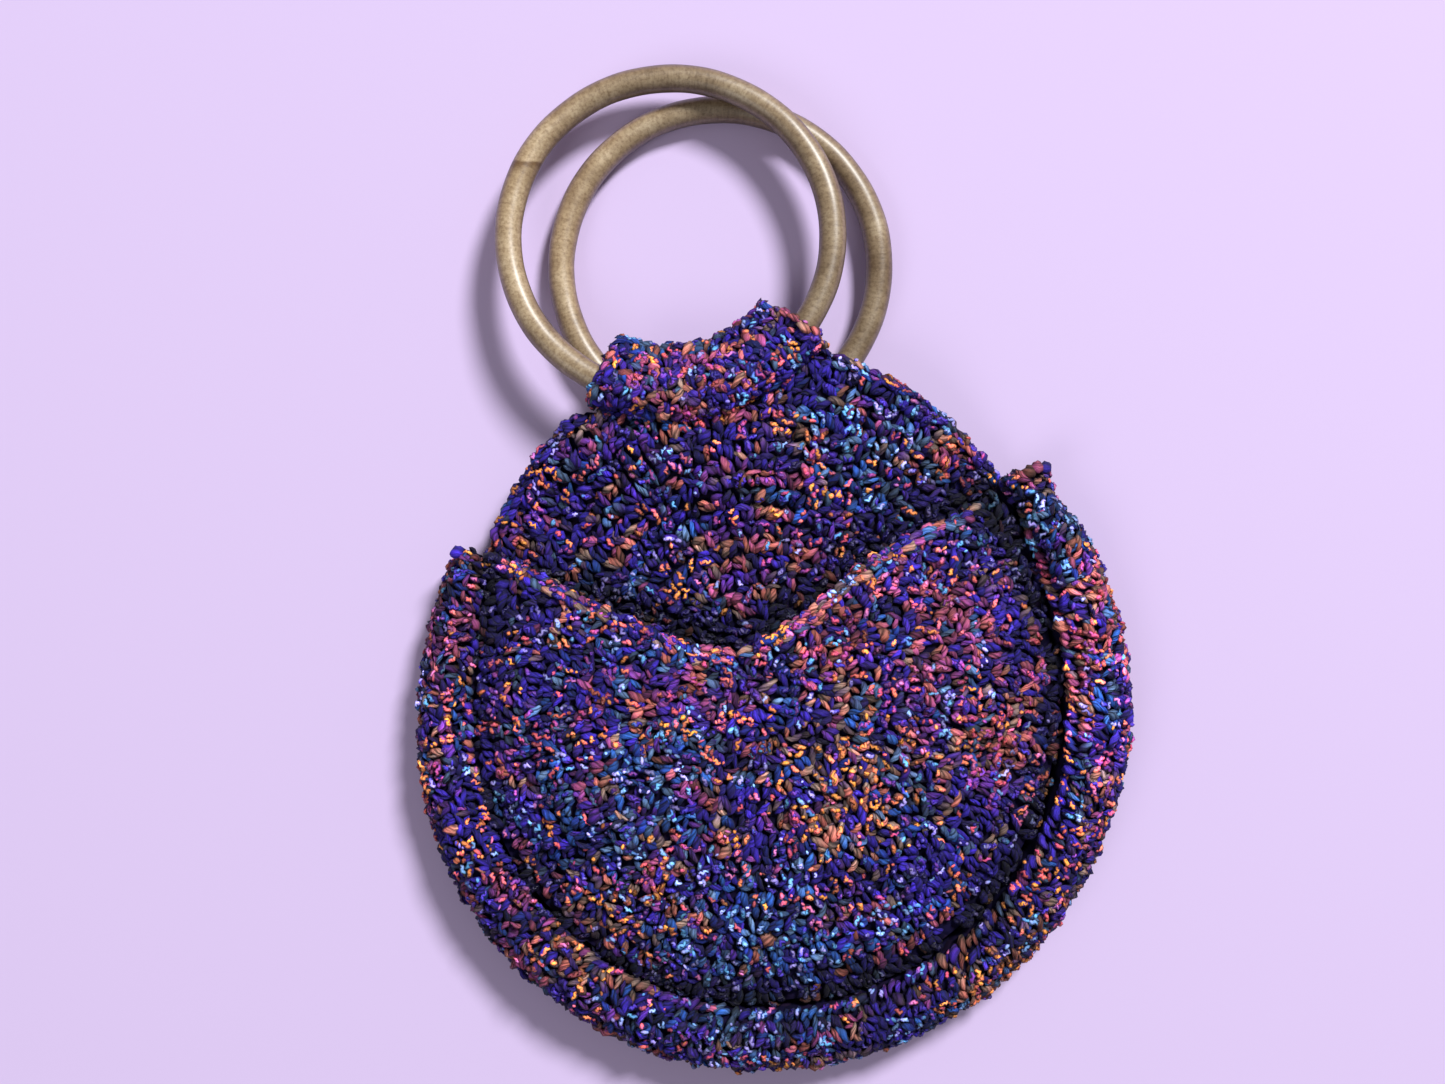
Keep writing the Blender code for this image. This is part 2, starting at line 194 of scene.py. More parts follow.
# The cloth's small humps and hollows: their size in metres and their seed.
HUMPS = (0.009, 41)


def loops_of(rows, forms, turn=14.0, shift=0.42, swell=0.20, sink=0.0, ply=1.18):
    """The soft loops of every stitch: their centre lines, radii and outward ways."""
    count, legs, steps = len(rows.point), forms.shape[1], forms.shape[2]
    local = forms[luck.integers(0, len(forms), count)]
    middle = local.mean(axis=2, keepdims=True)
    whole = luck.normal(0, turn, (count, 1, 1))
    angle = np.radians(whole + luck.normal(0, turn, (count, legs, 1)))
    arm = local - middle
    size = np.exp(luck.normal(0, 0.16, (count, legs, 1)))
    spun = np.empty_like(arm)
    spun[..., 0] = (arm[..., 0] * np.cos(angle) - arm[..., 1] * np.sin(angle)) * size
    spun[..., 1] = (arm[..., 0] * np.sin(angle) + arm[..., 1] * np.cos(angle)) * size
    spun[..., 2] = arm[..., 2]
    local = middle + spun + luck.normal(0, shift, (count, legs, 1, 3))
    local[..., 1:-1, :] += luck.normal(0, 0.12, (count, legs, steps - 2, 3))
    local[..., 2] += 0.45 * patch_noise(rows.point, *HUMPS)[:, None, None] - sink
    frames = np.stack([rows.along, rows.across, rows.normal], axis=1)
    paths = rows.point[:, None, None, :] + np.einsum("nlki,nij->nlkj", local * MM, frames)
    radii = ply * MM * PLY_SHAPE * np.exp(luck.normal(0, swell, (count, legs, 1)))
    return {
        "paths": paths.reshape(count * legs, steps, 3),
        "radii": radii.reshape(count * legs, steps),
        "ups": np.repeat(rows.normal, legs, axis=0),
        "line": np.repeat(rows.line, legs),
        "row": np.repeat(rows.row, legs),
        "spot": np.repeat(rows.point, legs, axis=0),
    }


def tones_of(loops, run, seed):
    """Where each loop is in the yarn's run of colours, from 0 to 1."""
    start = np.random.default_rng(seed).uniform(0, 1, KNOTS)[loops["row"] % KNOTS]
    place = loops["line"] / run + start
    place += 0.22 * value_noise(loops["line"] / (0.21 * run) + 97 * start, seed + 1)
    place += 0.26 * patch_noise(loops["spot"], 0.042, seed + 2)
    place += luck.normal(0, 0.035, len(place))
    stray = luck.random(len(place)) < 0.14
    place[stray] = luck.random(stray.sum())
    return place % 1.0


def tubes(paths, radii, ups, sides, flat=1.0, lobe=0.0):
    """Closed tubes that taper to a point at both ends: corners, triangles, quads, the UVs of
    both, and the corners of one tube. A lobe winds round a tube, as two twisted plies do."""
    count, steps, _ = paths.shape
    along = unit(np.gradient(paths, axis=1))
    side = unit(np.cross(along, ups[:, None, :]))
    over = np.cross(side, along)
    turn = np.arange(sides) * 2 * math.pi / sides
    wide, tall = np.cos(turn)[:, None], flat * np.sin(turn)[:, None]
    wheel = wide * side[:, :, None] + tall * over[:, :, None]
    swell = 1 + lobe * np.cos(2 * turn[None, :] + 1.9 * np.arange(steps)[:, None])
    rings = paths[:, 1:-1, None] + (radii[:, :, None] * swell)[:, 1:-1, :, None] * wheel[:, 1:-1]
    inner = steps - 2
    each = inner * sides + 2
    rings = rings.reshape(count, inner * sides, 3)
    corners = np.concatenate([rings, paths[:, :1], paths[:, -1:]], axis=1)
    first = np.arange(count)[:, None] * each
    j = np.arange(sides)
    k = (j + 1) % sides
    head, tail = inner * sides, inner * sides + 1
    last = (inner - 1) * sides
    caps = np.concatenate([
        np.stack([np.full(sides, head), j, k], axis=1),
        np.stack([np.full(sides, tail), last + k, last + j], axis=1),
    ])
    walls = np.concatenate([
        np.stack([i * sides + j, (i + 1) * sides + j, (i + 1) * sides + k, i * sides + k], axis=1)
        for i in range(inner - 1)
    ])
    low, high = j / sides, (j + 1) / sides
    middle = (low + high) / 2
    rise = np.arange(1, steps - 1) / (steps - 1)

    def ring_uv(*pairs):
        """The UVs of one ring of faces, whose corners are pairs of U and V."""
        return np.stack([np.stack([u, 0 * u + v], axis=1) for u, v in pairs], axis=1)

    cap_uv = np.concatenate([
        ring_uv((middle, 0), (low, rise[0]), (high, rise[0])),
        ring_uv((middle, 1), (high, rise[-1]), (low, rise[-1])),
    ])
    wall_uv = np.concatenate([
        ring_uv((low, v), (low, next_v), (high, next_v), (high, v))
        for v, next_v in zip(rise[:-1], rise[1:])
    ])
    tris = (first[:, :, None] + caps[None]).reshape(-1, 3)
    quads = (first[:, :, None] + walls[None]).reshape(-1, 4)
    cap_uvs, wall_uvs = (np.tile(uv.reshape(-1, 2), (count, 1)) for uv in (cap_uv, wall_uv))
    return corners.reshape(-1, 3), tris, quads, cap_uvs, wall_uvs, each


def joined(name, built, values, material):
    """One mesh object from sets of tubes, with a value of each kind for every tube."""
    corners, tris, quads, cap_uvs, wall_uvs, sizes = zip(*built)
    shift = np.concatenate([[0], np.cumsum([len(part) for part in corners])])
    each = np.concatenate([np.full(len(c) // size, size) for c, size in zip(corners, sizes)])
    corners = np.concatenate(corners)
    tris = np.concatenate([part + start for part, start in zip(tris, shift)])
    quads = np.concatenate([part + start for part, start in zip(quads, shift)])
    uvs = np.concatenate(cap_uvs + wall_uvs)
    corners[:, 2] = np.maximum(corners[:, 2], 0.15 * MM)  # never into the table
    mesh = bpy.data.meshes.new(name)
    mesh.vertices.add(len(corners))
    mesh.vertices.foreach_set("co", corners.ravel())
    mesh.loops.add(tris.size + quads.size)
    order = np.concatenate([tris.ravel(), quads.ravel()])
    mesh.loops.foreach_set("vertex_index", order.astype(np.int32))
    mesh.polygons.add(len(tris) + len(quads))
    starts = np.concatenate([np.arange(len(tris)) * 3, tris.size + np.arange(len(quads)) * 4])
    mesh.polygons.foreach_set("loop_start", starts.astype(np.int32))
    mesh.polygons.foreach_set("use_smooth", np.ones(len(starts), bool))
    mesh.update(calc_edges=True)
    mesh.uv_layers.new(name="strand").data.foreach_set("uv", uvs.ravel().astype(np.float32))
    for key, each_value in values.items():
        spread = mesh.attributes.new(key, "FLOAT", "POINT")
        spread.data.foreach_set("value", np.repeat(each_value, each).astype(np.float32))
    mesh.materials.append(material)
    made = bpy.data.objects.new(name, mesh)
    bpy.context.scene.collection.objects.link(made)
    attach(made, "root")


def yarn_piece(name, loops, sides=6):
    """The soft ply of a set of loops."""
    count = len(loops["paths"])
    values = {
        "tone": loops["tone"],
        "shade": luck.uniform(0.28, 1, count) * loops["dim"],
    }
    strands = tubes(loops["paths"], loops["radii"], loops["ups"], sides, PLY_FLAT, PLY_LOBE)
    joined(name, [strands], values, SOFT_PLY)


def on_loops(loops, chosen, place, angle):
    """Points on the outer side of loops, given how far along and how far round they are."""
    paths, radii, ups = loops["paths"][chosen], loops["radii"][chosen], loops["ups"][chosen]
    knots = paths.shape[1]
    place = np.clip(place * (knots - 1), 0, knots - 1.001)
    low = place.astype(int)
    part = place - low
    pick = np.arange(len(chosen))[:, None]
    line = paths[pick, low] * (1 - part[..., None]) + paths[pick, low + 1] * part[..., None]
    wide = radii[pick, low] * (1 - part) + radii[pick, low + 1] * part
    along = unit(paths[:, -2:-1] - paths[:, 1:2])
    side = unit(np.cross(along, ups[:, None, :]))
    over = np.cross(side, along)
    out = np.cos(angle)[..., None] * side + PLY_FLAT * np.sin(angle)[..., None] * over
    return line + wide[..., None] * out


THREAD_RADIUS = 0.70
ON_TOP = 1.57


def thread_piece(name, loops, share, sides=4):
    """The glossy thread, as far as it shows on the outer side of the loops: beaded strings
    of it that wind along a loop, and lumps that lie across one, of which some loops have two
    or three."""
    dense = 1 + 0.9 * patch_noise(loops["spot"], 0.014, 77)
    dense += 0.3 * patch_noise(loops["spot"], 0.04, 78)
    tries = luck.random(len(loops["paths"])) < share * dense
    owners = np.flatnonzero(tries)
    kinds = luck.random(len(owners))
    lumps_from = (0.64, 0.78, 0.89)
    strung = owners[kinds < lumps_from[0]]
    lumpy = np.concatenate([owners[kinds >= least] for least in lumps_from])
    count, step = len(strung), np.arange(9)[None] / 8
    begin = luck.uniform(0.11, 0.27, (count, 1))
    place = begin + step * luck.uniform(0.40, 0.64, (count, 1))
    hand = luck.choice([-1.0, 1.0], (count, 1))
    wave = hand * np.cos(step * 8 * math.pi / 2 * luck.uniform(0.8, 1.2, (count, 1)))
    angle = ON_TOP + luck.normal(0, 0.22, (count, 1)) + 0.42 * wave
    coil = on_loops(loops, strung, place, angle)
    beads = np.array([0, 1.05, 0.62, 1.12, 0.60, 1.12, 0.62, 1.0, 0])[None]
    bulk = beads * THREAD_RADIUS * MM * luck.uniform(0.85, 1.3, (count, 1))
    strings = tubes(coil, bulk, loops["ups"][strung], sides, 0.75)
    count, sweep = len(lumpy), np.linspace(-1, 1, 5)[None]
    place = luck.uniform(0.26, 0.74, (count, 1)) + luck.normal(0, 0.10, (count, 1)) * sweep
    turn = luck.choice([-1.0, 1.0], (count, 1)) * luck.uniform(0.5, 1.2, (count, 1))
    angle = ON_TOP + luck.normal(0, 0.30, (count, 1)) + turn * sweep
    coil = on_loops(loops, lumpy, place, angle)
    lump = np.array([0, 0.85, 1.12, 0.85, 0])[None]
    bulk = lump * THREAD_RADIUS * MM * luck.uniform(0.6, 1.25, (count, 1))
    lumps = tubes(coil, bulk, loops["ups"][lumpy], sides, 0.70)
    chosen = np.concatenate([strung, lumpy])
    values = {
        "tone": (loops["thread"][chosen] + luck.normal(0, 0.025, len(chosen))) % 1,
        "shade": luck.uniform(0.25, 1.20, len(chosen)) * loops["dim"][chosen],
    }
    joined(name, [strings, lumps], values, GLOSSY_THREAD)


def add(nodes, kind, **inputs):
    """A shader node with its settings and its unlinked inputs' values."""
    made = nodes.new(kind)
    for key, value in inputs.items():
        if key in made.inputs:
            made.inputs[key].default_value = value
        else:
            setattr(made, key, value)
    return made


def maths(tree, operation, *given):
    """What a maths node gives. It is given numbers and other nodes' outputs."""
    made = add(tree.nodes, "ShaderNodeMath", operation=operation)
    for socket, value in zip(made.inputs, given):
        if isinstance(value, bpy.types.NodeSocket):
            tree.links.new(value, socket)
        else:
            socket.default_value = value
    return made.outputs[0]


def ramp(nodes, stops, mode="LINEAR"):
    """A colour ramp with the given stops."""
    made = nodes.new("ShaderNodeValToRGB")
    made.color_ramp.interpolation = mode
    elements = made.color_ramp.elements
    while len(elements) < len(stops):
        elements.new(0.5)
    for element, (place, colour) in zip(elements, stops):
        element.position = place
        element.color = (*colour, 1)
    return made


def srgb(*shown):
    """A colour as it shows on screen, turned into the linear values that shaders use."""
    return tuple(
        ((c / 255 + 0.055) / 1.055) ** 2.4 if c > 10 else c / 255 / 12.92 for c in shown
    )


# The colours that the soft ply and the thread run through, again and again.
SOFT_RUN = [
    (0.00, srgb(36, 24, 128)), (0.09, srgb(56, 36, 172)), (0.18, srgb(28, 20, 84)),
    (0.26, srgb(28, 48, 138)), (0.32, srgb(44, 92, 176)), (0.38, srgb(84, 110, 146)),
    (0.44, srgb(36, 28, 78)), (0.53, srgb(60, 32, 150)), (0.60, srgb(100, 48, 140)),
    (0.67, srgb(166, 76, 128)), (0.73, srgb(192, 104, 92)), (0.79, srgb(140, 116, 104)),
    (0.85, srgb(74, 44, 108)), (0.93, srgb(50, 32, 150)), (1.00, srgb(36, 24, 128)),
]
THREAD_RUN = [
    (0.00, srgb(250, 160, 66)), (0.06, srgb(240, 132, 84)), (0.12, srgb(222, 92, 92)),
    (0.18, srgb(200, 72, 116)), (0.25, srgb(122, 58, 158)), (0.32, srgb(62, 38, 154)),
    (0.44, srgb(54, 42, 170)), (0.50, srgb(180, 164, 250)), (0.57, srgb(136, 176, 246)),
    (0.63, srgb(88, 164, 214)), (0.69, srgb(60, 44, 170)), (0.80, srgb(78, 44, 156)),
    (0.85, srgb(216, 120, 190)), (0.90, srgb(230, 96, 120)), (0.95, srgb(242, 122, 104)),
    (1.00, srgb(255, 170, 66)),
]


def fibre_group():
    """Fine fibres along a strand: its colour, broken up and darkened by painted shade at its ends
    and between its plies, and a height for bump.
    """
    group = bpy.data.node_groups.new("fibres", "ShaderNodeTree")
    for name, in_out, kind in (
        ("Colour", "INPUT", "Color"), ("Shade", "INPUT", "Float"), ("Contrast", "INPUT", "Float"),
        ("Twist", "INPUT", "Float"), ("Colour", "OUTPUT", "Color"), ("Height", "OUTPUT", "Float"),
    ):
        group.interface.new_socket(name, in_out=in_out, socket_type="NodeSocket" + kind)
    nodes, links = group.nodes, group.links
    given = nodes.new("NodeGroupInput")
    result = nodes.new("NodeGroupOutput")
    shade, contrast = given.outputs["Shade"], given.outputs["Contrast"]
    strand = add(nodes, "ShaderNodeUVMap", uv_map="strand")
    split = nodes.new("ShaderNodeSeparateXYZ")
    links.new(strand.outputs["UV"], split.inputs[0])
    round_it, along_it = split.outputs["X"], split.outputs["Y"]

    # The fibres: noise on a cylinder, read along a helix, at another height for each strand.
    twist = maths(group, "MULTIPLY_ADD", along_it, 0.55, round_it)
    turn = maths(group, "MULTIPLY", twist, 2 * math.pi)
    offset = maths(group, "MULTIPLY", shade, 40.0)
    place = nodes.new("ShaderNodeCombineXYZ")
    links.new(maths(group, "COSINE", turn), place.inputs[0])
    links.new(maths(group, "SINE", turn), place.inputs[1])
    links.new(maths(group, "MULTIPLY_ADD", along_it, 0.45, offset), place.inputs[2])
    fine = add(nodes, "ShaderNodeTexNoise", Scale=1.15, Detail=5.0, Roughness=0.68)
    links.new(place.outputs[0], fine.inputs["Vector"])
    level = add(nodes, "ShaderNodeMapRange", **{"From Min": 0.32, "From Max": 0.70})
    links.new(fine.outputs["Fac"], level.inputs["Value"])
    gain = nodes.new("ShaderNodeMapRange")
    links.new(level.outputs[0], gain.inputs["Value"])
    links.new(maths(group, "SUBTRACT", 1.12, contrast), gain.inputs["To Min"])
    links.new(maths(group, "ADD", 1.0, contrast), gain.inputs["To Max"])
    both = maths(group, "MULTIPLY", gain.outputs[0], maths(group, "MULTIPLY", shade, 1.95))

    # Painted shade: a strand is darkened where it dips into the cloth.
    dark, full = (0.12,) * 3, (1,) * 3
    ends = ramp(nodes, [(0.0, dark), (0.26, full), (0.74, full), (1.0, dark)], "EASE")
    links.new(along_it, ends.inputs["Fac"])
    painted_dark = maths(group, "MULTIPLY", both, ends.outputs["Color"])

    # The groove between two plies, which winds round the strand with its lobe. Its painted shade
    # darkens the colour there, and it also shapes the bump.
    plies = maths(group, "MULTIPLY_ADD", along_it, 0.756, round_it)
    wound = maths(group, "MULTIPLY_ADD", plies, 2 * math.pi, -0.5 * math.pi)
    crest = maths(group, "ABSOLUTE", maths(group, "SINE", wound))
    between = add(nodes, "ShaderNodeMapRange", **{"From Max": 0.55})
    links.new(crest, between.inputs["Value"])
    links.new(maths(group, "SUBTRACT", 1.0, given.outputs["Twist"]), between.inputs["To Min"])
    shaded = maths(group, "MULTIPLY", painted_dark, between.outputs[0])

    tinted = add(nodes, "ShaderNodeVectorMath", operation="SCALE")
    links.new(given.outputs["Colour"], tinted.inputs[0])
    links.new(shaded, tinted.inputs["Scale"])
    links.new(tinted.outputs[0], result.inputs["Colour"])
    height = maths(group, "ADD", level.outputs[0], between.outputs[0])
    links.new(height, result.inputs["Height"])
    return group


FIBRES = fibre_group()


def new_material(name):
    """A material with its nodes, its links and its shader."""
    made = bpy.data.materials.new(name)
    made.use_nodes = True
    nodes = made.node_tree.nodes
    return made, nodes, made.node_tree.links, nodes["Principled BSDF"]


def strand_material(name, run, contrast, twist, roughness, sheen, gloss, bump):
    """What a strand looks like: its tone's colour in a run, broken up into fibres, with painted
    light and shade by how it faces the view.
    """
    made, nodes, links, shader = new_material(name)
    tone = add(nodes, "ShaderNodeAttribute", attribute_name="tone")
    shade = add(nodes, "ShaderNodeAttribute", attribute_name="shade")
    strand = add(nodes, "ShaderNodeUVMap", uv_map="strand")
    split = nodes.new("ShaderNodeSeparateXYZ")
    links.new(strand.outputs["UV"], split.inputs[0])
    tree = made.node_tree
    drift = maths(tree, "MULTIPLY_ADD", split.outputs["Y"], 0.07, tone.outputs["Fac"])
    colours = ramp(nodes, run)
    links.new(maths(tree, "FRACT", drift), colours.inputs["Fac"])
    fibres = add(nodes, "ShaderNodeGroup", node_tree=FIBRES)
    fibres.inputs["Contrast"].default_value = contrast
    fibres.inputs["Twist"].default_value = twist
    links.new(colours.outputs["Color"], fibres.inputs["Colour"])
    links.new(shade.outputs["Fac"], fibres.inputs["Shade"])
    # Painted light and shade: a strand is brightened where it faces the view and darkened towards
    # its outline.
    rim = add(nodes, "ShaderNodeLayerWeight", Blend=0.5)
    painted_edge_shade = ramp(nodes, [(0.0, (1.15,) * 3), (0.50, (0.80,) * 3), (1.0, (0.22,) * 3)])
    links.new(rim.outputs["Facing"], painted_edge_shade.inputs["Fac"])
    lit = add(nodes, "ShaderNodeVectorMath", operation="MULTIPLY")
    links.new(fibres.outputs["Colour"], lit.inputs[0])
    links.new(painted_edge_shade.outputs["Color"], lit.inputs[1])
    links.new(lit.outputs[0], shader.inputs["Base Color"])
    relief = add(nodes, "ShaderNodeBump", Strength=bump, Distance=0.0005)
    links.new(fibres.outputs["Height"], relief.inputs["Height"])
    links.new(relief.outputs["Normal"], shader.inputs["Normal"])
    shader.inputs["Roughness"].default_value = roughness
    shader.inputs["Sheen Weight"].default_value = sheen
    shader.inputs["Sheen Roughness"].default_value = 0.5
    shader.inputs["Specular IOR Level"].default_value = gloss
    return made


SOFT_PLY = strand_material(
    "soft_ply", SOFT_RUN,
    contrast=0.95, twist=0.75, roughness=0.60, sheen=0.03, gloss=0.24, bump=1.0,
)
GLOSSY_THREAD = strand_material(
    "glossy_thread", THREAD_RUN,
    contrast=0.35, twist=0.0, roughness=0.36, sheen=0.0, gloss=0.50, bump=0.6,
)


def ground_material():
    """The depth of the cloth between the stitches, and its unseen inner faces, coloured
    near-black as painted shade.
    """
    made, nodes, links, shader = new_material("yarn_ground_painted_shade")
    place = nodes.new("ShaderNodeTexCoord")
    cells = add(nodes, "ShaderNodeTexVoronoi", Scale=260.0, Randomness=0.9)
    links.new(place.outputs["Object"], cells.inputs["Vector"])
    # Painted shade: near-black colours for the gaps between the stitches.
    colours = ramp(nodes, [
        (0.0, srgb(10, 8, 28)), (0.5, srgb(16, 12, 44)), (1.0, srgb(28, 16, 36)),
    ])
    links.new(cells.outputs["Color"], colours.inputs["Fac"])
    links.new(colours.outputs["Color"], shader.inputs["Base Color"])
    relief = add(nodes, "ShaderNodeBump", Strength=1.0, Distance=0.0012, invert=True)
    links.new(cells.outputs["Distance"], relief.inputs["Height"])
    links.new(relief.outputs["Normal"], shader.inputs["Normal"])
    shader.inputs["Roughness"].default_value = 0.95
    shader.inputs["Specular IOR Level"].default_value = 0.1
    return made


GROUND = ground_material()


def ground_of(node, inset=1.15):
    """The inside of a crocheted piece: its wall, thinned so that the stitches stand on it."""
    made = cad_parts[node].copy()
    made.data = made.data.copy()
    made.name = node + "_ground"
    for key in list(made.keys()):
        del made[key]
    made.parent = None
    made.hide_render = False
    made.hide_viewport = False
    bpy.context.scene.collection.objects.link(made)
    bpy.ops.object.select_all(action="DESELECT")
    bpy.context.view_layer.objects.active = made
    made.select_set(True)
    bpy.ops.object.mode_set(mode="EDIT")
    bpy.ops.mesh.select_all(action="SELECT")
    bpy.ops.mesh.remove_doubles(threshold=0.00002)
    bpy.ops.mesh.normals_make_consistent(inside=False)
    bpy.ops.object.mode_set(mode="OBJECT")
    thinner = made.modifiers.new("thinner", "DISPLACE")
    thinner.strength = -inset * MM
    thinner.mid_level = 0.0
    bpy.ops.object.modifier_apply(modifier="thinner")
    made.data.materials.clear()
    made.data.materials.append(GROUND)
    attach(made, "root")
    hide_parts(node)


# From one stitch to the next along a row, in mm.
PITCH = 4.9


def disc_rows(node, centre, drift, first, last, step, above, seed):
    """Rounds of stitches on a disc, on its upper or lower face: circles whose centre drifts
    as they grow."""
    tree = cad_tree(node)
    rows = Rows()
    way = np.array([0, 0, -1.0 if above else 1.0])
    number = 0
    radius = first
    while radius < last:
        share = radius / last
        middle = np.array(centre) * (1 - share) + np.array(drift) * share
        count = max(int(round(2 * math.pi * radius / PITCH)), 5)
        angle = luck.uniform(0, 6.283) + np.arange(count) * 2 * math.pi / count
        wave = radius + 0.45 * value_noise(angle * radius / 14, seed + number)
        x, y = middle[0] + wave * np.cos(angle), middle[1] + wave * np.sin(angle)
        starts = np.stack([x, y, 0 * angle], axis=1) * MM - way * 0.1
        points, normals, met = cast(tree, starts, np.tile(way, (count, 1)))
        line = angle * radius * MM
        rows.add(points, normals, onward(angle), line, seed * 100 + number, met)
        number += 1
        radius += step
    return rows.done()


def edge_row(rows, points, faces, seed, pitch=4.5):
    """Adds a row that follows a line of points, its stitches facing the given ways; where
    the line is broken, the row is too."""
    steps = np.linalg.norm(np.diff(points, axis=0), axis=1) / MM
    cuts = np.concatenate([[0], np.flatnonzero(steps > 3.0) + 1, [len(points)]])
    for low, high in zip(cuts[:-1], cuts[1:]):
        far = np.concatenate([[0], np.cumsum(steps[low : high - 1])])
        if far[-1] < pitch:
            continue

        def at(where, values):
            """What the values come to at some lengths along this stretch."""
            return np.stack([np.interp(where, far, values[low:high, i]) for i in range(3)], 1)

        count = int(round(far[-1] / pitch))
        place = (np.arange(count) + 0.3) * far[-1] / count
        ahead = at(place + 1.5, points) - at(place - 1.5, points)
        rows.add(at(place, points), at(place, faces), ahead, place * MM, seed)


# Where one stretch of the yarn's colours came to lie together: place and reach in mm, the
# share of the stitches there, and the stretches of the soft ply's and the thread's run.
CORAL = ((0.63, 0.74), (0.09, 0.22))
SALMON = ((0.69, 0.80), (0.92, 1.04))
ORANGE = ((0.88, 1.08), (0.97, 1.12))
MAUVE = ((0.57, 0.67), (0.80, 0.90))
BLUE = ((0.20, 0.36), (0.44, 0.66))
INDIGO = ((0.90, 1.12), (0.30, 0.48))
POOLS = [
    (124, 19, 26, 0.42, CORAL), (113, 50, 16, 0.55, BLUE), (66, -104, 22, 0.50, SALMON),
    (-34, -115, 46, 0.16, BLUE), (-122, -26, 16, 0.65, ORANGE), (-113, 50, 24, 0.55, MAUVE),
    (-100, -62, 24, 0.45, MAUVE), (-76, -70, 22, 0.50, SALMON), (25, -28, 28, 0.50, SALMON),
    (66, 26, 24, 0.50, MAUVE), (-19, -91, 32, 0.60, BLUE), (-89, 42, 20, 0.60, INDIGO),
    (-8, 124, 26, 0.32, CORAL), (58, 98, 26, 0.30, BLUE), (-74, 92, 20, 0.45, ORANGE),
    (-62, 14, 18, 0.50, ORANGE), (-50, -20, 22, 0.45, BLUE), (60, -70, 26, 0.45, INDIGO),
    (100, -58, 20, 0.50, ORANGE), (20, 20, 18, 0.45, CORAL), (86, -20, 18, 0.45, CORAL),
]

# Pools of painted light (gain above 0) and painted shade (gain below 0) on the cloth: place and
# reach in mm, and gain.
LIT = [
    (126, 6, 38, 0.85), (112, -50, 24, 0.35), (-20, -118, 44, -0.18), (60, -100, 30, -0.10),
    (-88, 46, 22, -0.26), (97, 50, 20, -0.15), (-96, 0, 14, -0.25), (92, 8, 14, -0.25),
    (-122, 0, 34, 0.42), (0, 62, 40, -0.06), (30, -20, 30, 0.10),
]


def coloured(loops, seed):
    """Gives loops a brightness of painted light and shade, and their places in the two runs of
    colours.
    Painted shade makes them darker in the cloth's hollows, in every other row, and where they
    face away from above, and pools of painted light and shade lie over that."""
    x, y = loops["spot"][:, 0] / MM, loops["spot"][:, 1] / MM
    # Painted shade: darker in the hollows between the humps, in every other row, and where the
    # cloth faces away from above.
    hollow = np.clip(-1.8 * patch_noise(loops["spot"], *HUMPS) - 0.1, 0, 1)
    loops["dim"] = 1.04 + 0.22 * patch_noise(loops["spot"], 0.020, seed + 7)
    loops["dim"] *= 1 - 0.50 * hollow
    loops["dim"] *= 1 - 0.16 * (loops["row"] % 2)
    loops["dim"] *= 0.50 + 0.54 * np.clip(loops["ups"][:, 2], 0, 1)
    # Pools of painted light and shade.
    for mid_x, mid_y, reach, gain in LIT:
        away = np.hypot(x - mid_x, y - mid_y) / reach
        loops["dim"] *= 1 + gain * np.clip(1.4 - away, 0, 1)
    loops["tone"] = tones_of(loops, 0.140, seed)
    loops["thread"] = tones_of(loops, 0.084, seed + 50)
    for mid_x, mid_y, reach, share, (soft, thread) in POOLS:
        away = np.hypot(x - mid_x, y - mid_y) / reach
        here = luck.random(len(away)) < share * np.clip(1.6 - 1.2 * away, 0, 1)
        loops["tone"][here] = luck.uniform(*soft, here.sum()) % 1
        loops["thread"][here] = luck.uniform(*thread, here.sum()) % 1
    return loops


ground_of("back_panel")
back_rows = disc_rows(
    "back_panel", (0, 12), (0, 2), first=3.0, last=140.0, step=5.3, above=False, seed=3
)
back_loops = coloured(loops_of(back_rows, POSTS, sink=0.9), 3)
yarn_piece("back_panel_yarn", back_loops, sides=3)
thread_piece("back_panel_thread", back_loops, 0.12, sides=3)

# The circle that a panel's upper edge follows, in mm: how far up the bag its middle is, and
# its radius.
PANEL_UP, PANEL_RADIUS = 27.4, 106.7


def free_arcs(node, inset, lift):
    """The two stretches of a panel's upper edge that are free, as lines on the cloth."""
    tree = cad_tree(node)
    for low, high in ((24.5, 66.0), (119.0, 154.5)):
        angle = np.radians(np.linspace(low, high, 40))
        out = outward(angle)
        flat = np.array([0, PANEL_UP, 0]) * MM + out * (PANEL_RADIUS - inset) * MM
        points, _, met = cast(tree, flat + [0, 0, 0.1], np.tile([0, 0, -1.0], (40, 1)))
        yield points[met] + np.array([0, 0, lift * MM]), out[met]


edge = Rows()
for number, (line, out) in enumerate(free_arcs("back_panel", 0.6, -2.0)):
    edge_row(edge, line, out, 390 + number)
back_edge = coloured(loops_of(edge.done(), CHAIN, sink=0.4), 4)
yarn_piece("back_edge_yarn", back_edge)
thread_piece("back_edge_thread", back_edge, 0.7)

# FRONT PANEL
# The same disc again, lying on the back panel. It shows above the pocket's mouth, where
# its free edge is finished with a row of chain stitches.

ground_of("front_panel")
MOUTH_LOW = 25


def mouth_rise(x):
    """How far the V of the pocket's mouth has risen above its lowest point, in mm."""
    return np.where(x < -9, (-9 - x) / 87, (x + 9) / 105) * 47


def paint_shade(loops, light):
    """Paints shade into loops: darkens them by the share of light given for them. Most of the
    darkest get indigo tones, so that the painted shade reads dark blue.
    """
    loops["dim"] *= 0.13 + 0.87 * np.clip(light, 0, 1)
    painted_dark = (loops["dim"] < 0.42) & (luck.random(len(light)) < 0.65)
    loops["tone"][painted_dark] = luck.uniform(-0.08, 0.12, painted_dark.sum()) % 1
    loops["thread"][painted_dark] = luck.uniform(0.28, 0.48, painted_dark.sum())


